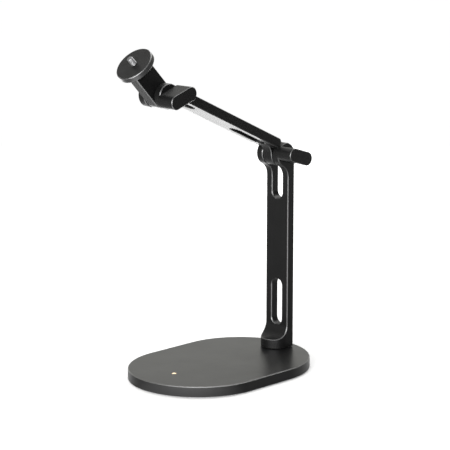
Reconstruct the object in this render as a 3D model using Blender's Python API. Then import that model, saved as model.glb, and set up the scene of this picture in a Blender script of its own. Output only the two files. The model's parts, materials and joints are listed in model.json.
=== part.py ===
"""Folding desktop camera stand: base plate, slotted post, slotted folding arm and tilting camera plate.

Metres, +Z up. The front is -Y and the wing knobs are at +X. The origin is on the table, under the
middle of the base. Each hinge turns about an axis along X.
"""
import math

import bmesh
import bpy
from mathutils import Matrix

# ---------------------------------------------------------------- driving dimensions
GAP = 0.0003                    # between two pieces that touch
SMALL = 0.0005                  # how far a cutter runs past a face

# base: a plate with round ends, on an anti-slip pad that is let into its underside
BASE_HALF_WIDTH = 0.075
BASE_STRAIGHT = 0.062           # length of the straight sides, along Y
BASE_TOP = 0.0125
BASE_UNDERSIDE = 0.001          # the plate hangs this far above the table
BASE_CHAMFER = 0.0008
PAD_THICKNESS = 0.0022
PAD_INSET = 0.0036              # from the plate's edge
MARKER_RADIUS = 0.0024
MARKER_Y = -0.0668
MARKER_DEPTH = 0.0018

# post and arm are cut from the same bar, with the same hinge knuckles
BAR_HALF_WIDTH = 0.016
BAR_THICKNESS = 0.010
BAR_CHAMFER = 0.0006
KNUCKLE_RADIUS = 0.0129
KNUCKLE_FILLET = 0.015          # hollow between a knuckle and the bar's face
FORK_HALF_GAP = 0.0075          # also half the width of every slot
TONGUE_HALF_WIDTH = 0.0062      # half the thickness of what sits in a fork

# post
SHOULDER_Y = 0.0846
SHOULDER_Z = 0.2269
FOOT_HEIGHT = 0.0105            # above the base
FOOT_REACH = 0.0175             # ahead of the post's front face
FOOT_FILLET = 0.015             # hollow between the foot's top and the post's front face
POST_SLOT = (0.0363, 0.0881)    # heights of the closed slot's two ends
POST_FORK_BOTTOM = 0.177        # height where the fork's gap starts

# arm, measured along it from the shoulder axis
ARM_LENGTH = 0.1877             # axis to axis
ARM_TILT = 24.6                 # degrees above the horizontal
ARM_SHOULDER_END = 0.013        # where the full width of the bar starts
ARM_END_CORNER = 0.004
ARM_SLOT = (0.024, 0.075)
ARM_FORK_START = 0.1365

# head: a tongue in the arm's fork, with a round camera plate on its end
HEAD_TILT = 46.1                # degrees above the horizontal
TONGUE_RADIUS = 0.0125
TONGUE_LENGTH = 0.0407          # from the head axis to the tongue's flat end
PLATE_RADIUS = 0.0202
PLATE_FACE = 0.0470             # from the head axis to the plate's face
PLATE_CHAMFER = 0.0006
PLATE_PAD_RADIUS = 0.018
PLATE_PAD_THICKNESS = 0.001
STUD_RADIUS = 0.003175          # quarter-inch camera thread
STUD_HEIGHT = 0.008             # above the plate's face
STUD_TIP_CHAMFER = 0.0007
STUD_SHANK_RADIUS = 0.003
STUD_FLANGE_RADIUS = 0.0057
STUD_FLANGE_THICKNESS = 0.0011
STUD_SHANK_END = 0.0252         # from the head axis
STUD_GROOVE = (0.0304, 0.0340)  # from the head axis
STUD_GROOVE_RADIUS = 0.0024
SWIVEL_WASHER_RADIUS = 0.006
SWIVEL_WASHER_THICKNESS = 0.0008
SET_SCREW_RADIUS = 0.0015
SET_SCREW_AT = 0.0322           # from the head axis
SET_SCREW_SINK = 0.0005         # below the tongue's edge

# hinge hardware
BOLT_RADIUS = 0.003
BORE_RADIUS = BOLT_RADIUS + GAP
FRICTION_WASHER_RADIUS = 0.010
THRUST_WASHER_RADIUS = 0.0055
THRUST_WASHER_THICKNESS = 0.001
NUT_ACROSS_FLATS = 0.010
NUT_THICKNESS = 0.005
KNOB_LENGTH = 0.0354
KNOB_THICKNESS = 0.0146
KNOB_OUTER_X = 0.0378
KNOB_CHAMFER = 0.0006
KNOB_BORE_END_X = 0.0295
SHOULDER_KNOB_TURN = 17.0       # degrees that the wing's front is above its rear
HEAD_KNOB_TURN = -43.6          # the same, from the arm's direction

# screws that hold the post, from below
SCREW_RADIUS = 0.0025
SCREW_HEAD_RADIUS = 0.005
SCREW_HEAD_HEIGHT = 0.0028
SCREW_BOTTOM = 0.0028           # height of the head's face
SCREW_TOP = 0.0195
SCREW_PLACES = ((0.0, 0.0785), (-0.009, 0.0915), (0.009, 0.0915))
SOCKET_DEPTH = 0.0018
SCREW_SOCKET_FLATS = 0.003
SET_SCREW_SOCKET_FLATS = 0.0015

# facets
LARGE_STEPS = 64                # round a full turn of the base
ROUND_STEPS = 40                # round a knuckle or the camera plate
SMALL_STEPS = 24                # round a bolt, bore or washer
SMOOTH_BELOW = 30               # degrees between facets that shade as one surface
FACES_ALONG = 0.99              # how nearly a face's normal lies along an axis, to count as an end face

# worked out from the above
POST_FRONT_Y = SHOULDER_Y + KNUCKLE_RADIUS - BAR_THICKNESS
POST_REAR_Y = SHOULDER_Y + KNUCKLE_RADIUS
BAR_UNDER = KNUCKLE_RADIUS - BAR_THICKNESS      # the bar's inner face, from the hinge axis


# ---------------------------------------------------------------- outlines, as lists of (x, y)
def arc(centre, radius, start, end, full_steps=ROUND_STEPS):
    """Points on an arc from one angle to another, in degrees, both ends included."""
    steps = max(2, round(abs(end - start) / 360 * full_steps))
    angles = [math.radians(start + (end - start) * i / steps) for i in range(steps + 1)]
    return [(centre[0] + radius * math.cos(a), centre[1] + radius * math.sin(a)) for a in angles]


def circle(radius, steps=SMALL_STEPS):
    return arc((0, 0), radius, 0, 360, steps)[:-1]


def stadium(radius, low, high, steps=ROUND_STEPS):
    """A slot's outline. It runs along the second axis, from low to high."""
    return arc((0, high - radius), radius, 0, 180, steps) + arc((0, low + radius), radius, 180, 360, steps)


def hexagon(across_flats):
    return circle(across_flats / math.sqrt(3), steps=6)


def knuckle_end():
    """The hinge end of a bar, as (distance along the bar from the hinge axis, distance across it).

    The bar's outer face touches the knuckle. The points go from there round the knuckle, and through
    the hollow beside it, to the bar's inner face.
    """
    across = BAR_UNDER - KNUCKLE_FILLET
    along = math.sqrt((KNUCKLE_RADIUS + KNUCKLE_FILLET) ** 2 - across ** 2)
    meet = math.degrees(math.atan2(-across, along))
    return (arc((0, 0), KNUCKLE_RADIUS, 90, 360 - meet)
            + arc((along, across), KNUCKLE_FILLET, 180 - meet, 90)[1:])


# ---------------------------------------------------------------- solids, as bmeshes
PLACES = {
    "X": lambda point, height: (height, point[0], point[1]),
    "Y": lambda point, height: (point[0], height, point[1]),
    "Z": lambda point, height: (point[0], point[1], height),
}


def prism(outline, low, high, along="Z"):
    """Extrude an outline along an axis. Its points are the other two coordinates, in order."""
    bm = bmesh.new()
    place = PLACES[along]
    face = bm.faces.new([bm.verts.new(place(point, low)) for point in outline])
    moved = bmesh.ops.extrude_face_region(bm, geom=[face])["geom"]
    bmesh.ops.translate(bm, vec=place((0, 0), high - low),
                        verts=[v for v in moved if isinstance(v, bmesh.types.BMVert)])
    bmesh.ops.recalc_face_normals(bm, faces=bm.faces)
    return bm


def chamfer_caps(bm, along, width, sides=(-1, 1)):
    """Chamfer the rims of a prism's end faces."""
    axis = "XYZ".index(along)
    rims = {edge for face in bm.faces for edge in face.edges
            if any(face.normal[axis] * side > FACES_ALONG for side in sides)}
    bmesh.ops.bevel(bm, geom=sorted(rims, key=lambda edge: edge.index), offset=width,
                    segments=1, affect="EDGES")
    return bm


def turned(profile, steps=SMALL_STEPS):
    """Turn a section about Z. It is (radius, height) points, and a radius of 0 closes an end."""
    bm = bmesh.new()
    rings = [[bm.verts.new((x, y, height)) for x, y in (circle(radius, steps) if radius else [(0, 0)])]
             for radius, height in profile]
    pairs = list(zip(rings, rings[1:]))
    if profile[0][0]:
        pairs.append((rings[-1], rings[0]))
    for one, other in pairs:
        for i in range(steps):
            corners = (one[i % len(one)], one[(i + 1) % steps % len(one)],
                       other[(i + 1) % steps % len(other)], other[i % len(other)])
            bm.faces.new(list(dict.fromkeys(corners)))
    bmesh.ops.recalc_face_normals(bm, faces=bm.faces)
    return bm


def ring(inner, outer, low, high, steps=SMALL_STEPS):
    return turned([(inner, low), (outer, low), (outer, high), (inner, high)], steps)


def peg(radius, low, high, steps=SMALL_STEPS):
    return turned([(0, low), (radius, low), (radius, high), (0, high)], steps)


def point_along(bm, direction):
    """Turn a solid made about +Z so that it points along +X or -Y."""
    about = {"X": "Y", "-Y": "X"}[direction]
    bmesh.ops.transform(bm, matrix=Matrix.Rotation(math.radians(90), 4, about), verts=bm.verts)
    return bm


# ---------------------------------------------------------------- materials
def finish(name, colour, roughness, metallic):
    made = bpy.data.materials.new(name)
    made.use_nodes = True
    shader = made.node_tree.nodes["Principled BSDF"]
    shader.inputs["Base Color"].default_value = (*colour, 1)
    shader.inputs["Roughness"].default_value = roughness
    shader.inputs["Metallic"].default_value = metallic
    return made


def anodised(name):
    return finish(name, (0.022, 0.022, 0.023), 0.36, 0.9)


def steel(name):
    return finish(name, (0.55, 0.55, 0.54), 0.3, 1.0)


def rubber(name):
    return finish(name, (0.035, 0.035, 0.036), 0.7, 0.0)


def nylon(name):
    return finish(name, (0.05, 0.05, 0.05), 0.5, 0.0)


def copper(name):
    return finish(name, (0.85, 0.62, 0.4), 0.35, 0.6)


# ---------------------------------------------------------------- objects
def add(name, bm, material=None, parent=None):
    mesh = bpy.data.meshes.new(name)
    bm.to_mesh(mesh)
    bm.free()
    mesh.shade_smooth()
    mesh.set_sharp_from_angle(angle=math.radians(SMOOTH_BELOW))
    if material:
        mesh.materials.append(material(name))
    obj = bpy.data.objects.new(name, mesh)
    obj.parent = parent
    bpy.context.scene.collection.objects.link(obj)
    return obj


def add_tool(name, bm, parent=None):
    """A shape that only cuts another, or joins it."""
    obj = add("tool_" + name, bm, parent=parent)
    obj.hide_render = True
    obj.display_type = "WIRE"
    return obj


def combine(obj, tool, operation="DIFFERENCE"):
    modifier = obj.modifiers.new(tool.name, "BOOLEAN")
    modifier.operation = operation
    modifier.solver = "EXACT"
    modifier.object = tool


def pivot(name, location, turn, parent=None):
    """An empty on a hinge axis along X. Its front goes up as turn grows, in degrees."""
    empty = bpy.data.objects.new(name, None)
    empty.location = location
    empty.rotation_euler.x = -math.radians(turn)
    empty.parent = parent
    bpy.context.scene.collection.objects.link(empty)
    return empty


# ---------------------------------------------------------------- base
def base_outline(inset=0.0):
    half_length = BASE_STRAIGHT / 2 + BASE_HALF_WIDTH - inset
    return stadium(BASE_HALF_WIDTH - inset, -half_length, half_length, LARGE_STEPS)


def make_base():
    plate = add("base_plate", chamfer_caps(prism(base_outline(), BASE_UNDERSIDE, BASE_TOP),
                                           "Z", BASE_CHAMFER), anodised)
    combine(plate, add_tool("pad_recess", prism(base_outline(PAD_INSET - GAP), 0, PAD_THICKNESS + GAP)))
    add("base_pad", prism(base_outline(PAD_INSET), 0, PAD_THICKNESS), rubber)

    hole = add_tool("marker_hole", peg(MARKER_RADIUS + GAP, BASE_TOP - MARKER_DEPTH - GAP,
                                       BASE_TOP + SMALL))
    marker = add("base_marker", peg(MARKER_RADIUS, BASE_TOP - MARKER_DEPTH, BASE_TOP), copper)
    for obj in (hole, marker):
        obj.location.y = MARKER_Y
    combine(plate, hole)
    return plate


def make_post_screws(plate, post):
    """Countersunk screws from below. Their holes open into the pad's recess."""
    seat = SCREW_BOTTOM + SCREW_HEAD_HEIGHT
    shape = [(0, SCREW_BOTTOM), (SCREW_HEAD_RADIUS, SCREW_BOTTOM), (SCREW_RADIUS, seat),
             (SCREW_RADIUS, SCREW_TOP), (0, SCREW_TOP)]
    room = [(0, PAD_THICKNESS), (SCREW_HEAD_RADIUS + GAP, PAD_THICKNESS),
            (SCREW_HEAD_RADIUS + GAP, SCREW_BOTTOM + GAP), (SCREW_RADIUS + GAP, seat + GAP),
            (SCREW_RADIUS + GAP, SCREW_TOP + SMALL), (0, SCREW_TOP + SMALL)]
    drive = hexagon(SCREW_SOCKET_FLATS)
    for number, (x, y) in enumerate(SCREW_PLACES, 1):
        screw = add(f"post_screw_{number}", turned(shape), steel)
        hole = add_tool(f"screw_hole_{number}", turned(room))
        socket = add_tool(f"screw_socket_{number}", prism(drive, PAD_THICKNESS,
                                                          SCREW_BOTTOM + SOCKET_DEPTH))
        for obj in (screw, hole, socket):
            obj.location = (x, y, 0)
        combine(screw, socket)
        combine(plate, hole)
        combine(post, hole)


# ---------------------------------------------------------------- post
def make_post():
    bottom = BASE_TOP + GAP
    length = SHOULDER_Z - bottom
    side = knuckle_end() + [(length, BAR_UNDER), (length, KNUCKLE_RADIUS)]
    outline = [(SHOULDER_Y + across, SHOULDER_Z - along) for along, across in side]
    post = add("post", chamfer_caps(prism(outline, -BAR_HALF_WIDTH, BAR_HALF_WIDTH, "X"),
                                    "X", BAR_CHAMFER), anodised)
    combine(post, make_foot(bottom), "UNION")

    for name, low, high in (("closed", *POST_SLOT),
                            ("fork", POST_FORK_BOTTOM, SHOULDER_Z + 2 * KNUCKLE_RADIUS)):
        slot = prism(stadium(FORK_HALF_GAP, low, high), SHOULDER_Y - 2 * KNUCKLE_RADIUS,
                     POST_REAR_Y + SMALL, "Y")
        combine(post, add_tool(f"post_slot_{name}", slot))
    return post


def make_foot(bottom):
    """The post's foot: half round in plan, with its top hollowed up to the post's front face."""
    toe = POST_FRONT_Y - FOOT_REACH
    heel = POST_FRONT_Y + BAR_THICKNESS / 2
    centre_z = BASE_TOP + FOOT_HEIGHT + FOOT_FILLET
    side = ([(heel, bottom), (toe - SMALL, bottom), (toe - SMALL, BASE_TOP + FOOT_HEIGHT)]
            + arc((POST_FRONT_Y - FOOT_FILLET, centre_z), FOOT_FILLET, -90, 0) + [(heel, centre_z)])
    plan = (arc((0, toe + BAR_HALF_WIDTH), BAR_HALF_WIDTH, 180, 360)
            + [(BAR_HALF_WIDTH, POST_REAR_Y), (-BAR_HALF_WIDTH, POST_REAR_Y)])
    foot = add_tool("foot", prism(side, -2 * BAR_HALF_WIDTH, 2 * BAR_HALF_WIDTH, "X"))
    combine(foot, add_tool("foot_plan", prism(plan, 0, SHOULDER_Z)), "INTERSECT")
    return foot


# ---------------------------------------------------------------- arm
def make_arm(shoulder):
    """The arm lies along -Y of the shoulder's frame, with its outer face up."""
    corner = (ARM_SHOULDER_END + ARM_END_CORNER, KNUCKLE_RADIUS - ARM_END_CORNER)
    bar = ([(ARM_LENGTH - along, across) for along, across in knuckle_end()]
           + [(ARM_SHOULDER_END, BAR_UNDER)] + arc(corner, ARM_END_CORNER, 180, 90))
    outline = [(-along, across) for along, across in bar]
    arm = add("arm", chamfer_caps(prism(outline, -BAR_HALF_WIDTH, BAR_HALF_WIDTH, "X"),
                                  "X", BAR_CHAMFER), anodised, shoulder)

    hollow_end = knuckle_end()[-1][0]
    inside = (BAR_UNDER + KNUCKLE_RADIUS) / 2
    root = knuckle_end() + [(hollow_end + inside, inside), (corner[0] + ARM_END_CORNER, KNUCKLE_RADIUS)]
    knuckle = prism([(-along, across) for along, across in root],
                    -TONGUE_HALF_WIDTH, TONGUE_HALF_WIDTH, "X")
    combine(arm, add_tool("arm_knuckle", knuckle, shoulder), "UNION")

    for name, near, far in (("closed", *ARM_SLOT), ("fork", ARM_FORK_START, ARM_LENGTH + 2 * KNUCKLE_RADIUS)):
        slot = prism(stadium(FORK_HALF_GAP, -far, -near), -2 * KNUCKLE_RADIUS, 2 * KNUCKLE_RADIUS)
        combine(arm, add_tool(f"arm_slot_{name}", slot, shoulder))
    bore(arm, "arm_shoulder", shoulder)
    return arm


# ---------------------------------------------------------------- hinges
def bore(obj, name, frame):
    """A bore for a hinge bolt, along X through a frame's origin."""
    reach = BAR_HALF_WIDTH + SMALL
    combine(obj, add_tool(f"{name}_bore", point_along(peg(BORE_RADIUS, -reach, reach), "X"), frame))


def make_hinge(name, fork, frame, knob_turn):
    """What holds a tongue in a fork: washers, a nut let into the left cheek, and the knob's bolt."""
    bore(fork, f"{name}_fork", frame)
    nut_inner = NUT_THICKNESS - BAR_HALF_WIDTH
    pocket = prism(hexagon(NUT_ACROSS_FLATS + 2 * GAP), -BAR_HALF_WIDTH - SMALL, nut_inner + GAP, "X")
    combine(fork, add_tool(f"{name}_nut_pocket", pocket, frame))
    nut = add(f"{name}_nut", prism(hexagon(NUT_ACROSS_FLATS), -BAR_HALF_WIDTH, nut_inner, "X"),
              steel, frame)
    bore(nut, f"{name}_nut", frame)

    inner, outer = TONGUE_HALF_WIDTH + GAP, FORK_HALF_GAP - GAP
    for side, low, high in (("left", -outer, -inner), ("right", inner, outer)):
        washer = ring(BORE_RADIUS, FRICTION_WASHER_RADIUS, low, high)
        add(f"{name}_washer_{side}", point_along(washer, "X"), nylon, frame)

    knob_frame = pivot(f"{name}_knob_pivot", (0, 0, 0), knob_turn, frame)
    make_knob(name, knob_frame)


def make_knob(name, frame):
    """A wing knob fixed on the hinge bolt, with a thrust washer half let into its inner face."""
    washer_low = BAR_HALF_WIDTH + GAP
    washer_high = washer_low + THRUST_WASHER_THICKNESS
    outline = [(y, x) for x, y in stadium(KNOB_THICKNESS / 2, -KNOB_LENGTH / 2, KNOB_LENGTH / 2)]
    knob_low = washer_low + GAP
    knob = add(f"{name}_knob", chamfer_caps(prism(outline, knob_low, KNOB_OUTER_X, "X"),
                                            "X", KNOB_CHAMFER), anodised, frame)
    room = turned([(0, knob_low - SMALL), (THRUST_WASHER_RADIUS + GAP, knob_low - SMALL),
                   (THRUST_WASHER_RADIUS + GAP, washer_high + GAP), (BORE_RADIUS, washer_high + GAP),
                   (BORE_RADIUS, KNOB_BORE_END_X), (0, KNOB_BORE_END_X)])
    combine(knob, add_tool(f"{name}_knob_room", point_along(room, "X"), frame))

    washer = ring(BORE_RADIUS, THRUST_WASHER_RADIUS, washer_low, washer_high)
    add(f"{name}_thrust_washer", point_along(washer, "X"), steel, frame)
    bolt = peg(BOLT_RADIUS, SMALL - BAR_HALF_WIDTH, KNOB_BORE_END_X - GAP)
    add(f"{name}_bolt", point_along(bolt, "X"), steel, frame)


# ---------------------------------------------------------------- head
def make_head(head):
    """The tongue and the camera plate lie along -Y of the head's frame."""
    outline = (arc((0, 0), TONGUE_RADIUS, -90, 90)
               + [(-TONGUE_LENGTH, TONGUE_RADIUS), (-TONGUE_LENGTH, -TONGUE_RADIUS)])
    bracket = add("head_bracket", chamfer_caps(prism(outline, -TONGUE_HALF_WIDTH, TONGUE_HALF_WIDTH, "X"),
                                               "X", BAR_CHAMFER), anodised, head)
    bore(bracket, "head_bracket", head)
    shank_room = peg(STUD_SHANK_RADIUS + GAP, STUD_SHANK_END - GAP, TONGUE_LENGTH + SMALL)
    combine(bracket, add_tool("shank_room", point_along(shank_room, "-Y"), head))

    screw_top = TONGUE_RADIUS - SET_SCREW_SINK
    screw_hole = add_tool("set_screw_hole", peg(SET_SCREW_RADIUS + GAP, 0, TONGUE_RADIUS + SMALL), head)
    screw = add("swivel_set_screw", peg(SET_SCREW_RADIUS, STUD_GROOVE_RADIUS + GAP, screw_top),
                steel, head)
    socket = add_tool("set_screw_socket", prism(hexagon(SET_SCREW_SOCKET_FLATS), screw_top - SOCKET_DEPTH,
                                                screw_top + SMALL), head)
    for obj in (screw_hole, screw, socket):
        obj.location.y = -SET_SCREW_AT
    combine(bracket, screw_hole)
    combine(screw, socket)


def make_camera_plate(head):
    """The plate and its stud turn together on the tongue's end. Heights are from the head axis."""
    back = TONGUE_LENGTH + GAP
    washer_top = back + SWIVEL_WASHER_THICKNESS
    pad_floor = PLATE_FACE - PLATE_PAD_THICKNESS - GAP
    flange_top = pad_floor - GAP
    flange_low = flange_top - STUD_FLANGE_THICKNESS
    shank_room = STUD_SHANK_RADIUS + GAP

    washer = ring(shank_room, SWIVEL_WASHER_RADIUS, back, washer_top)
    add("swivel_washer", point_along(washer, "-Y"), nylon, head)

    rim = PLATE_RADIUS - PLATE_CHAMFER
    plate = turned([(SWIVEL_WASHER_RADIUS + GAP, back), (SWIVEL_WASHER_RADIUS + GAP, washer_top + GAP),
                    (shank_room, washer_top + GAP), (shank_room, flange_low - GAP),
                    (STUD_FLANGE_RADIUS + GAP, flange_low - GAP), (STUD_FLANGE_RADIUS + GAP, pad_floor),
                    (PLATE_PAD_RADIUS + GAP, pad_floor), (PLATE_PAD_RADIUS + GAP, PLATE_FACE),
                    (rim, PLATE_FACE), (PLATE_RADIUS, PLATE_FACE - PLATE_CHAMFER),
                    (PLATE_RADIUS, back + PLATE_CHAMFER), (rim, back)], ROUND_STEPS)
    add("camera_plate", point_along(plate, "-Y"), anodised, head)

    pad = ring(STUD_RADIUS + GAP, PLATE_PAD_RADIUS, PLATE_FACE - PLATE_PAD_THICKNESS, PLATE_FACE,
               ROUND_STEPS)
    add("camera_plate_pad", point_along(pad, "-Y"), rubber, head)

    tip = PLATE_FACE + STUD_HEIGHT
    groove_low, groove_high = STUD_GROOVE
    stud = turned([(0, STUD_SHANK_END), (STUD_SHANK_RADIUS, STUD_SHANK_END),
                   (STUD_SHANK_RADIUS, groove_low), (STUD_GROOVE_RADIUS, groove_low),
                   (STUD_GROOVE_RADIUS, groove_high), (STUD_SHANK_RADIUS, groove_high),
                   (STUD_SHANK_RADIUS, flange_low), (STUD_FLANGE_RADIUS, flange_low),
                   (STUD_FLANGE_RADIUS, flange_top), (STUD_RADIUS, flange_top),
                   (STUD_RADIUS, tip - STUD_TIP_CHAMFER), (STUD_RADIUS - STUD_TIP_CHAMFER, tip),
                   (0, tip)])
    add("camera_stud", point_along(stud, "-Y"), steel, head)


def main():
    for obj in list(bpy.data.objects):
        bpy.data.objects.remove(obj, do_unlink=True)
    plate = make_base()
    post = make_post()
    make_post_screws(plate, post)

    upright = pivot("post_top", (0, SHOULDER_Y, SHOULDER_Z), 0)
    make_hinge("shoulder", post, upright, SHOULDER_KNOB_TURN)
    shoulder = pivot("shoulder_pivot", (0, SHOULDER_Y, SHOULDER_Z), ARM_TILT)
    arm = make_arm(shoulder)
    arm_front = pivot("arm_front", (0, -ARM_LENGTH, 0), 0, shoulder)
    make_hinge("head", arm, arm_front, HEAD_KNOB_TURN)
    head = pivot("head_pivot", (0, -ARM_LENGTH, 0), HEAD_TILT - ARM_TILT, shoulder)
    make_head(head)
    make_camera_plate(head)


main()
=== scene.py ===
"""Looks of the folding camera stand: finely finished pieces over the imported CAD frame, studio and camera.

Metres, in the CAD's frame. Each detailed piece is built about its own hinge axis or centre, which comes
from the record's joints and the CAD nodes' boxes, and takes the place of one CAD node.
"""

import json
import math

import bmesh
import bpy
from mathutils import Matrix, Vector

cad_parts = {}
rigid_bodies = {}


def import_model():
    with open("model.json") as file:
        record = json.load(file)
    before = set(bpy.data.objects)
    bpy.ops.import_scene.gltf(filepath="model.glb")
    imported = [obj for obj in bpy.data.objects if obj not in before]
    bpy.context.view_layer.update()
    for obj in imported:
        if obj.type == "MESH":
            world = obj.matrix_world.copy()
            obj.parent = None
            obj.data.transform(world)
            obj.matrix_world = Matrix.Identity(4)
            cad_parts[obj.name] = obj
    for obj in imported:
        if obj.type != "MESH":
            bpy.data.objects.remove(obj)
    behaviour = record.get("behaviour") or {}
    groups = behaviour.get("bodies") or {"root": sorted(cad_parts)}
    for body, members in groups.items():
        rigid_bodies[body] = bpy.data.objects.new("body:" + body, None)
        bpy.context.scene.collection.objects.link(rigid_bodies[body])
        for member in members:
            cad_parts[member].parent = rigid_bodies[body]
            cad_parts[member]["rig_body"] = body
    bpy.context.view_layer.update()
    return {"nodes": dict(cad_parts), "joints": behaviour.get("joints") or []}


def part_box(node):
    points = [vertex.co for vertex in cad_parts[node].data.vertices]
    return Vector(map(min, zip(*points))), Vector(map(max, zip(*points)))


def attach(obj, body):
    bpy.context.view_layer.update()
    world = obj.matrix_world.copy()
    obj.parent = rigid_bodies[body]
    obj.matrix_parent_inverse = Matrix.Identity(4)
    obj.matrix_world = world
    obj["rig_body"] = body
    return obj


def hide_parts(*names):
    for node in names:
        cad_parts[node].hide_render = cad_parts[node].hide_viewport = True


# ---------------------------------------------------------------- driving dimensions
GAP = 0.0003                    # the CAD's gap between touching pieces
HAIRLINE = 0.00012              # the gap that is shown between snug pieces
EDGE = 0.0007                   # chamfer on the edges of machined pieces

# base
BASE_CHAMFER = 0.0008
PAD_EDGES = (0.0005, 0.0002)    # chamfers of the pad's lower and upper rims
MARKER_EDGE = ((0, 0.0003), (0.00012, 0.0001), (0.0004, 0.00002))   # its rounded rim, as (inset, depth)
SCREW_RADIUS = 0.0025
SCREW_HOLE_RADIUS = 0.0026

# bars
KNUCKLE_RADIUS = 0.0129
BAR_THICKNESS = 0.010
KNUCKLE_FILLET = 0.015
FORK_HALF_GAP = 0.0075
FOOT_HEIGHT = 0.0105
FOOT_REACH = 0.0175
FOOT_FILLET = 0.015
POST_SLOT = (0.0363, 0.0881)
POST_FORK_BOTTOM = 0.177
ARM_SHOULDER_END = 0.013
ARM_END_CORNER = 0.004
ARM_SLOT = (0.024, 0.075)
ARM_FORK_START = 0.1365

# head
TONGUE_RADIUS = 0.0125
TONGUE_LENGTH = 0.0407
SET_SCREW_AT = 0.0322           # from the head's axis
SET_SCREW_RADIUS = 0.0015
SET_SCREW_TIP = 0.0027          # from the plate's axis
SET_SCREW_TIP_CHAMFER = 0.0004
SET_SCREW_TOP_CHAMFER = 0.0003
SET_SCREW_SINK = 0.0005         # below the tongue's edge
SET_SCREW_SOCKET = (0.0015, 0.0018)     # across flats, and depth

# camera plate: depths are below its face
PLATE_FACE = 0.0470             # from the head's axis
PLATE_CHAMFER = 0.0006
PLATE_PAD_INSET = 0.0011        # from the plate's rim
PLATE_PAD_DEPTH = 0.0010
PLATE_PAD_EDGE = (0.00008, 0.00006)     # how far in and down its rim is rounded
SHANK_ROOM_RADIUS = 0.0033
FLANGE_ROOM = (0.006, 0.0031)   # radius and depth
WASHER_ROOM = (0.0063, 0.0012)  # radius, and depth into the plate's back
SWIVEL_WASHER = (0.006, 0.0008)     # radius and thickness

# camera stud: lengths are from the head's axis, depths below the plate's face
STUD_RADIUS = 0.003175
STUD_PITCH = 0.00127
STUD_THREAD_DEPTH = 0.0006
STUD_THREAD_START = 0.002       # depth
STUD_HEIGHT = 0.008             # above the plate's face
STUD_TIP_CHAMFER = 0.0007
STUD_END = 0.0252               # its hidden end
STUD_SHANK_RADIUS = 0.003
STUD_CORE_RADIUS = 0.0024       # at the groove and inside the thread
STUD_CORE_TOP = 0.0011          # depth
STUD_GROOVE = (0.0304, 0.034)
FLANGE_RADIUS = 0.0057
FLANGE_THICKNESS = 0.0011
FLANGE_TOP = 0.0016             # depth

# hinge hardware
KNOB_CHAMFER = 0.0006
BOLT_RADIUS = 0.003
BOLT_PITCH = 0.001
BOLT_THREAD_DEPTH = 0.0004
BOLT_TIP_CHAMFER = 0.0006
THREAD_STEEPNESS = 1.25         # over 1, so that the crests are flat
WASHER_EDGE = 0.00015           # chamfer of steel washers
SOFT_WASHER_EDGE = 0.0001
NUT_ACROSS_FLATS = 0.010
NUT_DOME = 0.00025              # how far its flat ends reach past the flats
NUT_DROP = 0.0007               # how far its corners are turned down
NUT_MOUTH = 0.0005              # chamfer of its bore
KNOB_LENGTH = 0.0354
KNOB_THICKNESS = 0.0146
SHOULDER_KNOB_TURN = 17.0
HEAD_KNOB_TURN = -19.0

# facets of a full turn
FINE = 160
MEDIUM = 96
COARSE = 48
THREAD_ROWS = 8                 # rows of facets to a turn of thread
FINE_THREAD_ROWS = 12
SMOOTH_BELOW = 30               # degrees between facets that shade as one surface
SHARP_ABOVE = 35                # degrees between faces whose edge gets a chamfer
RIM_LEAN = (0.6, 0.8)           # how nearly the normal of a rim's chamfer lies along an axis

# studio: a fade is a direction or a centre, then near and far, then the levels there
FLOOR_RADIUS = 1.6
FLOOR_TOP = -0.0001
FLOOR_BOTTOM = -0.004
FLOOR_GREYS = (0.16, 0.17)
GLOW_BEHIND = ((-0.707, 0.707, 0), (0.15, 0.5), (0, 5.5))
GLOW_AHEAD = ((0.15, -0.24, 0), (0.08, 0.22), (13, 0))
FLOOR_SEEN = ((0, 0, 0), (0.25, 1.2), (0.25, 1.1))
WORLD_SLOPE = {"From Min": -0.8, "From Max": 0.8, "To Min": 0.35, "To Max": 1.28}
WORLD_TINT = (1, 1, 0.95, 1)
BACKDROP_LEVEL = 1.01
OVERHEAD_LIGHT = {"power": 170, "width": 1.5, "height": 2.6, "place": (-0.2, 0.6, 1.9),
                  "target": (-0.2, 0.6, 0)}
FRONT_LIGHT = {"power": 600, "width": 3.2, "height": 1.2, "place": (1.03, -1.94, 0.62),
               "target": (0, 0, 0.2)}

CAMERA_PLACE = (1.2585, -1.2462, 0.5221)
CAMERA_TURN = (78.44, 0, 45.09)     # degrees
CAMERA_LENS = 137.73
CAMERA_SHIFT = (-0.0008, 0.0008)


# ---------------------------------------------------------------- frame
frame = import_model()
joints = {joint["name"]: joint for joint in frame["joints"]}
SHOULDER = Vector(joints["shoulder_tilt"]["pos_m"])
HEAD = Vector(joints["head_tilt"]["pos_m"])
PLATE_AXIS = Vector(joints["camera_plate_swivel"]["axis"])
ARM_TILT = math.degrees(math.atan2(HEAD.z - SHOULDER.z, SHOULDER.y - HEAD.y))
ARM_LENGTH = (HEAD - SHOULDER).length
HEAD_TILT = math.degrees(math.atan2(PLATE_AXIS.z, -PLATE_AXIS.y))
BASE_LOW, BASE_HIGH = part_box("base_plate")
BAR_HALF_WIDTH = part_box("post")[1].x
TONGUE_HALF_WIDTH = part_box("head_bracket")[1].x
BAR_UNDER = KNUCKLE_RADIUS - BAR_THICKNESS


def hinge_frame(origin, turn):
    """From a frame that lies along -Y to the row frame. Its front goes up as turn grows, in degrees."""
    return Matrix.Translation(origin) @ Matrix.Rotation(-math.radians(turn), 4, "X")


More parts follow.
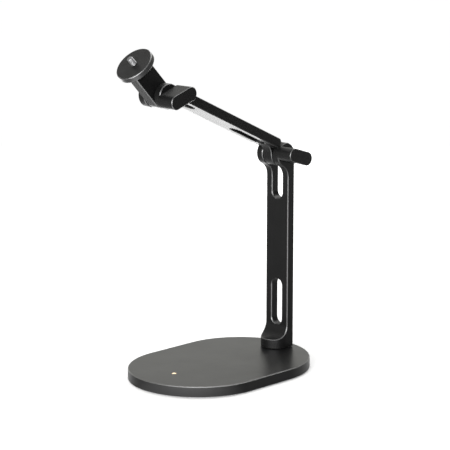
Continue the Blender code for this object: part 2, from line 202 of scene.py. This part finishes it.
POST_TOP = hinge_frame(SHOULDER, 0)
ARM_FRAME = hinge_frame(SHOULDER, ARM_TILT)
ARM_FRONT = hinge_frame(HEAD, ARM_TILT)
HEAD_FRAME = hinge_frame(HEAD, HEAD_TILT)
ALONG_X = Matrix.Rotation(math.radians(90), 4, "Y")
ALONG_MINUS_Y = Matrix.Rotation(math.radians(90), 4, "X")


# ---------------------------------------------------------------- materials
def material(name):
    """A new material: its nodes' tree, its shader, and a function that adds and links nodes."""
    made = bpy.data.materials.new(name)
    made.use_nodes = True
    tree = made.node_tree
    shader = tree.nodes["Principled BSDF"]

    def node(kind, settings=None, **inputs):
        new = tree.nodes.new(kind)
        for key, value in (settings or {}).items():
            setattr(new, key, value)
        for key, value in inputs.items():
            socket = new.inputs[int(key[1:])] if key[0] == "i" and key[1:].isdigit() else new.inputs[key]
            if isinstance(value, bpy.types.NodeSocket):
                tree.links.new(value, socket)
            else:
                socket.default_value = value
        return new

    place = node("ShaderNodeTexCoord").outputs["Object"]
    return made, tree, shader, node, place


def ramp(node, value, low, high, at=(0.3, 0.7)):
    """Maps a noise value to a colour between low and high."""
    new = node("ShaderNodeValToRGB", Fac=value)
    for stop, position, colour in zip(new.color_ramp.elements, at, (low, high)):
        stop.position = position
        stop.color = (*colour, 1)
    return new.outputs["Color"]


def span(node, value, low, high):
    """Maps 0..1 to low..high."""
    new = node("ShaderNodeMapRange", Value=value)
    new.inputs["To Min"].default_value = low
    new.inputs["To Max"].default_value = high
    return new.outputs["Result"]


def fade(node, operation, place, point, near_far, levels):
    """A level that changes along a direction, or with the distance from a point."""
    measure = node("ShaderNodeVectorMath", {"operation": operation}, i0=place, i1=point).outputs["Value"]
    new = node("ShaderNodeMapRange", Value=measure)
    for key, value in zip(("From Min", "From Max", "To Min", "To Max"), (*near_far, *levels)):
        new.inputs[key].default_value = value
    return new.outputs["Result"]


def metal_skin(name, dark, light, rough, blast=0.05, specular=0.2):
    """Bead-blasted and anodised aluminium: fine grain in bump, and slow changes in tone and sheen."""
    made, tree, shader, node, place = material(name)
    slow = node("ShaderNodeTexNoise", Vector=place, Scale=28.0, Detail=3.0).outputs["Fac"]
    grain = node("ShaderNodeTexNoise", Vector=place, Scale=2600.0, Detail=2.0).outputs["Fac"]
    tree.links.new(ramp(node, slow, dark, light), shader.inputs["Base Color"])
    sheen = node("ShaderNodeMath", {"operation": "MULTIPLY_ADD"}, i0=grain, i1=0.35, i2=slow)
    tree.links.new(span(node, sheen.outputs[0], rough - 0.05, rough + 0.05), shader.inputs["Roughness"])
    bump = node("ShaderNodeBump", Height=grain, Strength=blast, Distance=0.00004)
    tree.links.new(bump.outputs["Normal"], shader.inputs["Normal"])
    shader.inputs["Specular IOR Level"].default_value = specular
    return made


def turned_steel(name, dark, light, rough):
    """Plain or bright steel, with the fine rings of turning."""
    made, tree, shader, node, place = material(name)
    rings = node("ShaderNodeTexNoise", Vector=place, Scale=1400.0, Detail=2.0).outputs["Fac"]
    patches = node("ShaderNodeTexNoise", Vector=place, Scale=160.0, Detail=3.0).outputs["Fac"]
    tree.links.new(ramp(node, patches, dark, light), shader.inputs["Base Color"])
    tree.links.new(span(node, rings, rough - 0.06, rough + 0.08), shader.inputs["Roughness"])
    bump = node("ShaderNodeBump", Height=rings, Strength=0.08, Distance=0.00003)
    tree.links.new(bump.outputs["Normal"], shader.inputs["Normal"])
    shader.inputs["Metallic"].default_value = 1.0
    return made


def soft_skin(name, dark, light, rough, scale, depth, specular=0.3):
    """Rubber or nylon: a matt, faintly pebbled skin."""
    made, tree, shader, node, place = material(name)
    cells = node("ShaderNodeTexVoronoi", Vector=place, Scale=scale).outputs["Distance"]
    cloud = node("ShaderNodeTexNoise", Vector=place, Scale=90.0, Detail=4.0).outputs["Fac"]
    tree.links.new(ramp(node, cloud, dark, light), shader.inputs["Base Color"])
    tree.links.new(span(node, cloud, rough - 0.06, rough + 0.06), shader.inputs["Roughness"])
    bump = node("ShaderNodeBump", Height=cells, Strength=0.3, Distance=depth)
    tree.links.new(bump.outputs["Normal"], shader.inputs["Normal"])
    shader.inputs["Specular IOR Level"].default_value = specular
    return made


def grey(value):
    return (value, value, value * 1.02)


# each skin: name, darkest and lightest colour, middle roughness
ANODISED = metal_skin("anodised_black", grey(0.0007), grey(0.0010), 0.36, specular=0.07)
ANODISED_BASE = metal_skin("anodised_black_base", grey(0.0010), grey(0.0016), 0.31, specular=0.15)
PLATE_SKIN = metal_skin("anodised_black_plate", grey(0.003), grey(0.004), 0.36, specular=0.14)
EDGE_SKIN = metal_skin("anodised_black_edge", grey(0.003), grey(0.005), 0.38, specular=0.28)
BASE_EDGE_SKIN = metal_skin("anodised_black_base_edge", grey(0.004), grey(0.006), 0.38, specular=1.0)
STEEL = turned_steel("plain_steel", grey(0.33), grey(0.44), 0.34)
BRIGHT_STEEL = turned_steel("bright_steel", grey(0.045), grey(0.062), 0.50)
PAD_RUBBER = soft_skin("pad_rubber", grey(0.018), grey(0.03), 0.72, 1500.0, 0.00012)
PLATE_RUBBER = soft_skin("plate_pad_rubber", grey(0.0012), grey(0.0020), 0.32, 3200.0, 0.00001, 0.08)
NYLON = soft_skin("black_nylon", grey(0.018), grey(0.026), 0.46, 2400.0, 0.00003)
COPPER = metal_skin("copper_marker", (0.22, 0.165, 0.105), (0.25, 0.19, 0.12), 0.5, specular=0.1)


# ---------------------------------------------------------------- outlines, as lists of (x, y)
def arc(centre, radius, start, end, full_steps=FINE):
    steps = max(2, round(abs(end - start) / 360 * full_steps))
    angles = [math.radians(start + (end - start) * i / steps) for i in range(steps + 1)]
    return [(centre[0] + radius * math.cos(a), centre[1] + radius * math.sin(a)) for a in angles]


def circle(radius, steps=COARSE):
    return arc((0, 0), radius, 0, 360, steps)[:-1]


def stadium(radius, low, high, steps=FINE):
    """It runs along the second axis, from low to high."""
    return arc((0, high - radius), radius, 0, 180, steps) + arc((0, low + radius), radius, 180, 360, steps)


def hexagon(across_flats):
    return circle(across_flats / math.sqrt(3), steps=6)


def knuckle_end():
    """The hinge end of a bar, as (distance along it from the axis, distance across it)."""
    across = BAR_UNDER - KNUCKLE_FILLET
    along = math.sqrt((KNUCKLE_RADIUS + KNUCKLE_FILLET) ** 2 - across ** 2)
    meet = math.degrees(math.atan2(-across, along))
    return (arc((0, 0), KNUCKLE_RADIUS, 90, 360 - meet)
            + arc((along, across), KNUCKLE_FILLET, 180 - meet, 90)[1:])


# ---------------------------------------------------------------- solids, as bmeshes
PLACES = {
    "X": lambda point, height: (height, point[0], point[1]),
    "Y": lambda point, height: (point[0], height, point[1]),
    "Z": lambda point, height: (point[0], point[1], height),
}


def prism(outline, low, high, along="Z"):
    bm = bmesh.new()
    place = PLACES[along]
    face = bm.faces.new([bm.verts.new(place(point, low)) for point in outline])
    moved = bmesh.ops.extrude_face_region(bm, geom=[face])["geom"]
    bmesh.ops.translate(bm, vec=place((0, 0), high - low),
                        verts=[v for v in moved if isinstance(v, bmesh.types.BMVert)])
    bmesh.ops.recalc_face_normals(bm, faces=bm.faces)
    return bm


def turned(profile, steps=COARSE):
    """Turn a section about Z. It is (radius, height) points, and a radius of 0 closes an end."""
    bm = bmesh.new()
    rings = [[bm.verts.new((x, y, height)) for x, y in (circle(radius, steps) if radius else [(0, 0)])]
             for radius, height in profile]
    pairs = list(zip(rings, rings[1:]))
    if profile[0][0]:
        pairs.append((rings[-1], rings[0]))
    for one, other in pairs:
        for i in range(steps):
            corners = (one[i % len(one)], one[(i + 1) % steps % len(one)],
                       other[(i + 1) % steps % len(other)], other[i % len(other)])
            bm.faces.new(list(dict.fromkeys(corners)))
    bmesh.ops.recalc_face_normals(bm, faces=bm.faces)
    return bm


def ring(inner, outer, low, high, edge=WASHER_EDGE, steps=MEDIUM):
    return turned([(inner, low), (outer - edge, low), (outer, low + edge), (outer, high - edge),
                   (outer - edge, high), (inner, high)], steps)


def threaded_rod(radius, depth, pitch, low, high, tip, steps=COARSE, rows=THREAD_ROWS):
    """A rod with a helical thread, and a chamfered tip at its high end."""
    bm = bmesh.new()
    count = math.ceil((high - low) / pitch * rows)
    heights = [low + (high - low) * i / count for i in range(count + 1)]
    rings = []
    for height in heights:
        ring_verts = []
        for i in range(steps):
            phase = (height / pitch - i / steps) % 1
            thread = depth * min(1, THREAD_STEEPNESS * abs(2 * phase - 1))
            here = min(radius - depth + thread, radius - tip + max(0, high - height))
            angle = 2 * math.pi * i / steps
            ring_verts.append(bm.verts.new((here * math.cos(angle), here * math.sin(angle), height)))
        rings.append(ring_verts)
    for one, other in zip(rings, rings[1:]):
        for i in range(steps):
            bm.faces.new((one[i], one[(i + 1) % steps], other[(i + 1) % steps], other[i]))
    for end in (rings[0], rings[-1]):
        bm.faces.new(end)
    bmesh.ops.recalc_face_normals(bm, faces=bm.faces)
    return bm


# ---------------------------------------------------------------- objects
def new_object(name, bm, place):
    mesh = bpy.data.meshes.new(name)
    bmesh.ops.transform(bm, matrix=place, verts=bm.verts)
    bm.to_mesh(mesh)
    bm.free()
    obj = bpy.data.objects.new(name, mesh)
    bpy.context.scene.collection.objects.link(obj)
    return obj


def carve(obj, bm, place, operation="DIFFERENCE"):
    """Cut a solid out of an object, or join it on, and keep the result as its mesh."""
    tool = new_object("tool", bm, place)
    modifier = obj.modifiers.new("carve", "BOOLEAN")
    modifier.operation = operation
    modifier.solver = "EXACT"
    modifier.object = tool
    bake(obj)
    bpy.data.objects.remove(tool)


def bake(obj):
    """Apply an object's modifiers to its mesh."""
    bpy.context.view_layer.update()
    graph = bpy.context.evaluated_depsgraph_get()
    mesh = bpy.data.meshes.new_from_object(obj.evaluated_get(graph), depsgraph=graph)
    obj.modifiers.clear()
    obj.data = mesh


def break_edges(obj, width, skin):
    """Chamfer every sharp edge, which leaves it brighter, and keep flat faces flat in shading."""
    clean = bmesh.new()
    clean.from_mesh(obj.data)
    bmesh.ops.remove_doubles(clean, verts=clean.verts, dist=0.00002)
    bmesh.ops.dissolve_limit(clean, angle_limit=math.radians(0.5), verts=clean.verts, edges=clean.edges)
    clean.to_mesh(obj.data)
    clean.free()
    bevel = obj.modifiers.new("edges", "BEVEL")
    bevel.width = width
    bevel.segments = 1
    bevel.limit_method = "ANGLE"
    bevel.angle_limit = math.radians(SHARP_ABOVE)
    bevel.use_clamp_overlap = False
    bevel.material = 1
    for finish in (skin, EDGE_SKIN):
        obj.data.materials.append(finish)
    bake(obj)
    flat_faces(obj)


def flat_faces(obj):
    """Shade curves smooth, and keep the flat faces beside them flat."""
    obj.data.shade_smooth()
    obj.data.set_sharp_from_angle(angle=math.radians(SMOOTH_BELOW))
    flatten = obj.modifiers.new("normals", "WEIGHTED_NORMAL")
    flatten.keep_sharp = True
    bake(obj)


def bright_rims(obj, skin, axis, edge_skin=None):
    """Give a piece its finish, and its 45 degree rims the brighter one. axis is the one they lean to."""
    for finish in (skin, edge_skin or EDGE_SKIN):
        obj.data.materials.append(finish)
    for face in obj.data.polygons:
        if RIM_LEAN[0] < abs(face.normal.dot(axis)) < RIM_LEAN[1]:
            face.material_index = 1
    return obj


def show(obj, node, skin=None):
    """Give a finished piece its body, and a material if it has none, in place of a CAD node."""
    if skin:
        obj.data.shade_smooth()
        obj.data.set_sharp_from_angle(angle=math.radians(SMOOTH_BELOW))
        obj.data.materials.append(skin)
    obj.name = "fine_" + node
    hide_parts(node)
    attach(obj, frame["nodes"][node]["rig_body"])
    return obj


def simple(node, bm, place, skin):
    return show(new_object(node, bm, place), node, skin)


# ---------------------------------------------------------------- base
def base_outline(inset=0.0):
    radius = BASE_HIGH.x - inset
    return stadium(radius, BASE_LOW.y + inset, BASE_HIGH.y - inset, 2 * FINE)


def chamfered_plate(outline_at, low, high, low_edge, high_edge):
    """A plate whose rims are chamfered, as a stack of outlines."""
    layers = [(low_edge, low), (0, low + low_edge), (0, high - high_edge), (high_edge, high)]
    bm = bmesh.new()
    rows = [[bm.verts.new((x, y, height)) for x, y in outline_at(inset)] for inset, height in layers]
    for one, other in zip(rows, rows[1:]):
        for i in range(len(one)):
            j = (i + 1) % len(one)
            bm.faces.new((one[i], one[j], other[j], other[i]))
    bm.faces.new(rows[0])
    bm.faces.new(rows[-1])
    bmesh.ops.recalc_face_normals(bm, faces=bm.faces)
    return bm


def make_base():
    plate = new_object("base_plate", chamfered_plate(base_outline, BASE_LOW.z, BASE_HIGH.z,
                                                      BASE_CHAMFER, BASE_CHAMFER), Matrix())
    pad_low, pad_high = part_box("base_pad")
    inset = pad_low.y - BASE_LOW.y
    recess = prism(base_outline(inset - HAIRLINE), -GAP, pad_high.z + GAP)
    carve(plate, recess, Matrix())
    marker_low, marker_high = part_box("base_marker")
    centre = (marker_low + marker_high) / 2
    radius = (marker_high.x - marker_low.x) / 2
    room = radius + HAIRLINE
    floor = marker_low.z - GAP
    hole = [(0, floor), (room, floor), (room, BASE_HIGH.z - GAP), (room + 2 * GAP, BASE_HIGH.z + GAP),
            (0, BASE_HIGH.z + GAP)]
    over = Matrix.Translation((centre.x, centre.y, 0))
    carve(plate, turned(hole), over)
    for number in (1, 2, 3):
        low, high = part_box(f"post_screw_{number}")
        middle = (low + high) / 2
        head = (high.x - low.x) / 2
        seat = low.z + head - SCREW_RADIUS + GAP
        room = [(0, 0), (head + HAIRLINE, 0), (head + HAIRLINE, low.z + HAIRLINE), (SCREW_HOLE_RADIUS, seat),
                (SCREW_HOLE_RADIUS, BASE_HIGH.z + GAP), (0, BASE_HIGH.z + GAP)]
        carve(plate, turned(room), Matrix.Translation((middle.x, middle.y, 0)))
    flat_faces(bright_rims(plate, ANODISED_BASE, Vector((0, 0, 1)), BASE_EDGE_SKIN))
    show(plate, "base_plate")

    pad = chamfered_plate(lambda more: base_outline(inset + more), 0, pad_high.z, *PAD_EDGES)
    simple("base_pad", pad, Matrix(), PAD_RUBBER)
    rim = [(radius - inward, marker_high.z - depth) for inward, depth in MARKER_EDGE]
    dot = [(0, marker_low.z), (radius, marker_low.z)] + rim + [(0, marker_high.z)]
    simple("base_marker", turned(dot, MEDIUM), over, COPPER)


# ---------------------------------------------------------------- post
def make_post():
    low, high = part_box("post")
    front = high.y - BAR_THICKNESS
    side = knuckle_end() + [(SHOULDER.z - low.z, BAR_UNDER), (SHOULDER.z - low.z, KNUCKLE_RADIUS)]
    outline = [(SHOULDER.y + across, SHOULDER.z - along) for along, across in side]
    post = new_object("post", prism(outline, -BAR_HALF_WIDTH, BAR_HALF_WIDTH, "X"), Matrix())

    top = BASE_HIGH.z + FOOT_HEIGHT
    toe = front - FOOT_REACH
    heel = front + BAR_THICKNESS / 2
    foot_side = ([(heel, low.z), (toe - GAP, low.z), (toe - GAP, top)]
                 + arc((front - FOOT_FILLET, top + FOOT_FILLET), FOOT_FILLET, -90, 0)
                 + [(heel, top + FOOT_FILLET)])
    plan = (arc((0, toe + BAR_HALF_WIDTH), BAR_HALF_WIDTH, 180, 360)
            + [(BAR_HALF_WIDTH, high.y), (-BAR_HALF_WIDTH, high.y)])
    foot = new_object("foot", prism(foot_side, -2 * BAR_HALF_WIDTH, 2 * BAR_HALF_WIDTH, "X"), Matrix())
    carve(foot, prism(plan, 0, SHOULDER.z), Matrix(), "INTERSECT")
    joined = bmesh.new()
    joined.from_mesh(foot.data)
    bpy.data.objects.remove(foot)
    carve(post, joined, Matrix(), "UNION")

    for bottom, height in (POST_SLOT, (POST_FORK_BOTTOM, SHOULDER.z + 2 * KNUCKLE_RADIUS)):
        slot = prism(stadium(FORK_HALF_GAP, bottom, height), SHOULDER.y - 2 * KNUCKLE_RADIUS,
                     high.y + GAP, "Y")
        carve(post, slot, Matrix())
    for number in (1, 2, 3):
        screw_low, screw_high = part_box(f"post_screw_{number}")
        middle = (screw_low + screw_high) / 2
        hole_top = screw_high.z + GAP
        hole = [(0, 0), (SCREW_HOLE_RADIUS, 0), (SCREW_HOLE_RADIUS, hole_top), (0, hole_top)]
        carve(post, turned(hole), Matrix.Translation((middle.x, middle.y, 0)))
    cut_hinge(post, POST_TOP)
    break_edges(post, EDGE, ANODISED)
    show(post, "post")


def cut_bore(obj, half_width, place):
    """The bore for a hinge's bolt, through a piece of that half width."""
    reach = half_width + GAP
    bore = BOLT_RADIUS + HAIRLINE
    carve(obj, turned([(0, -reach), (bore, -reach), (bore, reach), (0, reach)]), place @ ALONG_X)


def cut_hinge(fork, place):
    """The bolt's bore and the nut's pocket, in a fork."""
    cut_bore(fork, BAR_HALF_WIDTH, place)
    nut_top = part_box("shoulder_nut")[1].x
    pocket = prism(hexagon(NUT_ACROSS_FLATS + 2 * HAIRLINE), -BAR_HALF_WIDTH - GAP, nut_top + GAP, "X")
    carve(fork, pocket, place)


# ---------------------------------------------------------------- arm
def make_arm():
    corner = (ARM_SHOULDER_END + ARM_END_CORNER, KNUCKLE_RADIUS - ARM_END_CORNER)
    bar = ([(ARM_LENGTH - along, across) for along, across in knuckle_end()]
           + [(ARM_SHOULDER_END, BAR_UNDER)] + arc(corner, ARM_END_CORNER, 180, 90))
    arm = new_object("arm", prism([(-along, across) for along, across in bar],
                                  -BAR_HALF_WIDTH, BAR_HALF_WIDTH, "X"), ARM_FRAME)
    hollow_end = knuckle_end()[-1][0]
    inside = (BAR_UNDER + KNUCKLE_RADIUS) / 2
    root = knuckle_end() + [(hollow_end + inside, inside), (corner[0] + ARM_END_CORNER, KNUCKLE_RADIUS)]
    knuckle = prism([(-along, across) for along, across in root],
                    -TONGUE_HALF_WIDTH, TONGUE_HALF_WIDTH, "X")
    carve(arm, knuckle, ARM_FRAME, "UNION")
    for near, far in (ARM_SLOT, (ARM_FORK_START, ARM_LENGTH + 2 * KNUCKLE_RADIUS)):
        slot = prism(stadium(FORK_HALF_GAP, -far, -near), -2 * KNUCKLE_RADIUS, 2 * KNUCKLE_RADIUS)
        carve(arm, slot, ARM_FRAME)
    cut_bore(arm, BAR_HALF_WIDTH, ARM_FRAME)
    cut_hinge(arm, ARM_FRONT)
    break_edges(arm, EDGE, ANODISED)
    show(arm, "arm")


# ---------------------------------------------------------------- hinge hardware
def hinge_box(name, node):
    """The box of a hinge's own part."""
    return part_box(f"{name}_{node}")


def make_nut(name, place):
    """A hexagon nut. Its corners are turned down, and its bore is opened at one end."""
    box_low, box_high = hinge_box(name, "nut")
    low, high = box_low.x, box_high.x
    nut = new_object("nut", prism(hexagon(NUT_ACROSS_FLATS), low, high, "X"), place)
    dome = NUT_ACROSS_FLATS / 2 + NUT_DOME
    corner = NUT_ACROSS_FLATS / math.sqrt(3) + GAP
    chamfer = turned([(0, low - GAP), (dome, low), (corner, low + NUT_DROP), (corner, high - NUT_DROP),
                      (dome, high), (0, high + GAP)], MEDIUM)
    carve(nut, chamfer, place @ ALONG_X, "INTERSECT")
    inner = BOLT_RADIUS + HAIRLINE
    bore = turned([(0, low - GAP), (BOLT_RADIUS + NUT_MOUTH, low - GAP), (inner, low + NUT_MOUTH),
                   (inner, high + GAP), (0, high + GAP)])
    carve(nut, bore, place @ ALONG_X)
    show(nut, f"{name}_nut", STEEL)


def make_hinge_parts(name, place, knob_turn):
    """Nut, washers, bolt and wing knob of one hinge. place is the hinge's frame."""
    along_x = place @ ALONG_X

    def make_washer(node, edge, skin):
        low, high = hinge_box(name, node)
        washer = ring(BOLT_RADIUS + GAP, (high - low).y / 2, low.x, high.x, edge)
        simple(f"{name}_{node}", washer, along_x, skin)

    make_nut(name, place)
    for side in ("left", "right"):
        make_washer(f"washer_{side}", SOFT_WASHER_EDGE, NYLON)
    make_washer("thrust_washer", WASHER_EDGE, STEEL)

    low, high = hinge_box(name, "bolt")
    rod = threaded_rod(BOLT_RADIUS, BOLT_THREAD_DEPTH, BOLT_PITCH, -high.x, -low.x, BOLT_TIP_CHAMFER)
    flipped = along_x @ Matrix.Rotation(math.radians(180), 4, "X")
    simple(f"{name}_bolt", rod, flipped, STEEL)

    make_knob(name, Matrix.Translation(place.translation), knob_turn)


def make_knob(name, place, turn):
    low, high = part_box(f"{name}_knob")
    turned_place = place @ Matrix.Rotation(-math.radians(turn), 4, "X")
    radius = KNOB_THICKNESS / 2
    half = KNOB_LENGTH / 2

    def outline_at(inset):
        """In (Y, Z), so that the knob lies along Y and is stacked along X."""
        return [(y, x) for x, y in stadium(radius - inset, -half + inset, half - inset)]

    solid = chamfered_plate(outline_at, low.x, high.x, KNOB_CHAMFER, KNOB_CHAMFER)
    to_yz = Matrix(((0, 0, 1, 0), (1, 0, 0, 0), (0, 1, 0, 0), (0, 0, 0, 1)))
    knob = new_object("knob", solid, turned_place @ to_yz)
    washer_low, washer_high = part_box(f"{name}_thrust_washer")
    room = (washer_high.y - washer_low.y) / 2 + GAP
    bore_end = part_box(f"{name}_bolt")[1].x + GAP
    carve(knob, turned([(0, low.x - GAP), (room, low.x - GAP), (room, washer_high.x + GAP),
                        (BOLT_RADIUS + HAIRLINE, washer_high.x + GAP), (BOLT_RADIUS + HAIRLINE, bore_end),
                        (0, bore_end)], MEDIUM), turned_place @ ALONG_X)
    flat_faces(bright_rims(knob, ANODISED, Vector((1, 0, 0))))
    show(knob, f"{name}_knob")


# ---------------------------------------------------------------- head
def make_head():
    outline = (arc((0, 0), TONGUE_RADIUS, -90, 90)
               + [(-TONGUE_LENGTH, TONGUE_RADIUS), (-TONGUE_LENGTH, -TONGUE_RADIUS)])
    bracket = new_object("bracket", prism(outline, -TONGUE_HALF_WIDTH, TONGUE_HALF_WIDTH, "X"), HEAD_FRAME)
    cut_bore(bracket, TONGUE_HALF_WIDTH, HEAD_FRAME)
    floor = STUD_END - GAP - EDGE
    room = STUD_SHANK_RADIUS + GAP
    end = TONGUE_LENGTH + GAP
    carve(bracket, turned([(0, floor), (room, floor), (room, end), (0, end)]), HEAD_FRAME @ ALONG_MINUS_Y)
    screw_place = HEAD_FRAME @ Matrix.Translation((0, -SET_SCREW_AT, 0))
    hole = SET_SCREW_RADIUS + HAIRLINE
    carve(bracket, turned([(0, 0), (hole, 0), (hole, TONGUE_RADIUS + GAP), (0, TONGUE_RADIUS + GAP)]),
          screw_place)
    break_edges(bracket, EDGE, ANODISED)
    show(bracket, "head_bracket")

    top = TONGUE_RADIUS - SET_SCREW_SINK
    section = [(0, SET_SCREW_TIP), (SET_SCREW_RADIUS - SET_SCREW_TIP_CHAMFER, SET_SCREW_TIP),
               (SET_SCREW_RADIUS, SET_SCREW_TIP + SET_SCREW_TIP_CHAMFER),
               (SET_SCREW_RADIUS, top - SET_SCREW_TOP_CHAMFER),
               (SET_SCREW_RADIUS - SET_SCREW_TOP_CHAMFER, top), (0, top)]
    screw = new_object("set_screw", turned(section), screw_place)
    across_flats, depth = SET_SCREW_SOCKET
    carve(screw, prism(hexagon(across_flats), top - depth, top + GAP), screw_place)
    show(screw, "swivel_set_screw", STEEL)


def make_camera_plate():
    """Sections are (radius, distance from the head's axis), turned about the plate's axis."""
    place = HEAD_FRAME @ ALONG_MINUS_Y
    back = TONGUE_LENGTH + GAP
    radius = (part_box("camera_plate")[1].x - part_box("camera_plate")[0].x) / 2
    pad_radius = radius - PLATE_PAD_INSET
    pad_floor = PLATE_FACE - PLATE_PAD_DEPTH
    washer_room, washer_depth = WASHER_ROOM
    flange_room, flange_depth = FLANGE_ROOM
    section = [(washer_room, back), (washer_room, back + washer_depth),
               (SHANK_ROOM_RADIUS, back + washer_depth), (SHANK_ROOM_RADIUS, PLATE_FACE - flange_depth),
               (flange_room, PLATE_FACE - flange_depth), (flange_room, pad_floor),
               (pad_radius + HAIRLINE, pad_floor), (pad_radius + HAIRLINE, PLATE_FACE)]
    rim = [(radius - PLATE_CHAMFER, PLATE_FACE), (radius, PLATE_FACE - PLATE_CHAMFER),
           (radius, back + PLATE_CHAMFER), (radius - PLATE_CHAMFER, back)]
    disc = bright_rims(new_object("disc", turned(section + rim, FINE), place), PLATE_SKIN, PLATE_AXIS)
    flat_faces(disc)
    show(disc, "camera_plate")

    inner = STUD_RADIUS + HAIRLINE
    inward, down = PLATE_PAD_EDGE
    pad = [(inner, pad_floor + HAIRLINE), (pad_radius, pad_floor + HAIRLINE),
           (pad_radius, PLATE_FACE - down), (pad_radius - inward, PLATE_FACE), (inner, PLATE_FACE)]
    simple("camera_plate_pad", turned(pad, FINE), place, PLATE_RUBBER)

    washer_radius, thickness = SWIVEL_WASHER
    washer = ring(SHANK_ROOM_RADIUS, washer_radius, back, back + thickness)
    simple("swivel_washer", washer, place, NYLON)
    make_stud(place)


def make_stud(place):
    """The camera thread, on a shank with a flange and a groove."""
    stud = new_object("stud", threaded_rod(STUD_RADIUS, STUD_THREAD_DEPTH, STUD_PITCH,
                                           PLATE_FACE - STUD_THREAD_START, PLATE_FACE + STUD_HEIGHT,
                                           STUD_TIP_CHAMFER, MEDIUM, FINE_THREAD_ROWS), place)
    shank, core = STUD_SHANK_RADIUS, STUD_CORE_RADIUS
    groove_low, groove_high = STUD_GROOVE
    flange_top = PLATE_FACE - FLANGE_TOP
    flange_low = flange_top - FLANGE_THICKNESS
    core_top = PLATE_FACE - STUD_CORE_TOP
    section = [(0, STUD_END), (shank, STUD_END), (shank, groove_low), (core, groove_low),
               (core, groove_high), (shank, groove_high), (shank, flange_low), (FLANGE_RADIUS, flange_low),
               (FLANGE_RADIUS, flange_top), (core, flange_top), (core, core_top), (0, core_top)]
    carve(stud, turned(section, MEDIUM), place, "UNION")
    show(stud, "camera_stud", BRIGHT_STEEL)


# ---------------------------------------------------------------- studio
def area_light(name, power, width, height, place, target):
    light = bpy.data.lights.new(name, "AREA")
    light.shape = "RECTANGLE"
    light.size = width
    light.size_y = height
    light.energy = power
    obj = bpy.data.objects.new(name, light)
    obj.location = place
    obj.rotation_euler = (Vector(target) - Vector(place)).to_track_quat("-Z", "Y").to_euler()
    obj.visible_camera = False
    bpy.context.scene.collection.objects.link(obj)
    return obj


def leave_unlit(light, name):
    """Keep a light off one piece."""
    unlit = bpy.data.collections.new("unlit")
    unlit.objects.link(bpy.data.objects[name])
    unlit.collection_objects[0].light_linking.link_state = "EXCLUDE"
    light.light_linking.receiver_collection = unlit


def make_floor():
    """A large round floor. The camera sees it white. On the object it throws the glow of two patches."""
    section = [(0, FLOOR_TOP), (FLOOR_RADIUS, FLOOR_TOP), (FLOOR_RADIUS, FLOOR_BOTTOM), (0, FLOOR_BOTTOM)]
    floor = new_object("floor", turned(section, FINE), Matrix())
    made, tree, shader, node, place = material("floor_white")
    cloud = node("ShaderNodeTexNoise", Vector=place, Scale=3.0).outputs["Fac"]
    dark, light = [(level, level, level) for level in FLOOR_GREYS]
    tree.links.new(ramp(node, cloud, dark, light), shader.inputs["Base Color"])
    shader.inputs["Roughness"].default_value = 0.9
    shader.inputs["Specular IOR Level"].default_value = 0.1
    behind = fade(node, "DOT_PRODUCT", place, *GLOW_BEHIND)
    ahead = fade(node, "DISTANCE", place, *GLOW_AHEAD)
    reflected = node("ShaderNodeMath", {"operation": "ADD"}, i0=behind, i1=ahead).outputs["Value"]
    seen = node("ShaderNodeLightPath").outputs["Is Camera Ray"]
    visible = fade(node, "DISTANCE", place, *FLOOR_SEEN)
    strength = node("ShaderNodeMix", i0=seen, i2=reflected, i3=visible)
    shader.inputs["Emission Color"].default_value = (1, 1, 1, 1)
    tree.links.new(strength.outputs[0], shader.inputs["Emission Strength"])
    floor.data.materials.append(made)


def make_world():
    """White to the camera. To the object, a soft studio that grows brighter towards -X."""
    world = bpy.data.worlds.new("studio")
    bpy.context.scene.world = world
    world.use_nodes = True
    tree = world.node_tree
    tree.nodes.clear()
    new, link = tree.nodes.new, tree.links.new
    direction = new("ShaderNodeTexCoord").outputs["Generated"]
    toward = new("ShaderNodeVectorMath")
    toward.operation = "DOT_PRODUCT"
    toward.inputs[1].default_value = (-1, 0, 0)
    link(direction, toward.inputs[0])
    slope = new("ShaderNodeMapRange")
    for key, value in WORLD_SLOPE.items():
        slope.inputs[key].default_value = value
    link(toward.outputs["Value"], slope.inputs["Value"])
    studio = new("ShaderNodeBackground")
    studio.inputs["Color"].default_value = WORLD_TINT
    link(slope.outputs["Result"], studio.inputs["Strength"])
    white = new("ShaderNodeBackground")
    white.inputs["Color"].default_value = (1, 1, 1, 1)
    white.inputs["Strength"].default_value = BACKDROP_LEVEL
    path = new("ShaderNodeLightPath")
    mix = new("ShaderNodeMixShader")
    link(path.outputs["Is Camera Ray"], mix.inputs["Fac"])
    link(studio.outputs["Background"], mix.inputs[1])
    link(white.outputs["Background"], mix.inputs[2])
    out = new("ShaderNodeOutputWorld")
    link(mix.outputs["Shader"], out.inputs["Surface"])


def make_studio():
    make_floor()
    make_world()
    area_light("overhead", **OVERHEAD_LIGHT)
    front = area_light("front", **FRONT_LIGHT)
    leave_unlit(front, "fine_base_plate")
    bpy.context.scene.view_settings.view_transform = "Standard"


def make_camera():
    data = bpy.data.cameras.new("camera")
    data.sensor_width = 36
    data.lens = CAMERA_LENS
    data.shift_x, data.shift_y = CAMERA_SHIFT
    data.clip_end = 50
    camera = bpy.data.objects.new("camera", data)
    camera.location = CAMERA_PLACE
    camera.rotation_euler = [math.radians(angle) for angle in CAMERA_TURN]
    bpy.context.scene.collection.objects.link(camera)
    bpy.context.scene.camera = camera


def main():
    make_base()
    make_post()
    make_arm()
    make_hinge_parts("shoulder", POST_TOP, SHOULDER_KNOB_TURN)
    make_hinge_parts("head", ARM_FRONT, HEAD_KNOB_TURN)
    make_head()
    make_camera_plate()
    for number in (1, 2, 3):
        screw = frame["nodes"][f"post_screw_{number}"]
        screw.data.materials.clear()
        screw.data.materials.append(STEEL)
    make_studio()
    make_camera()


main()
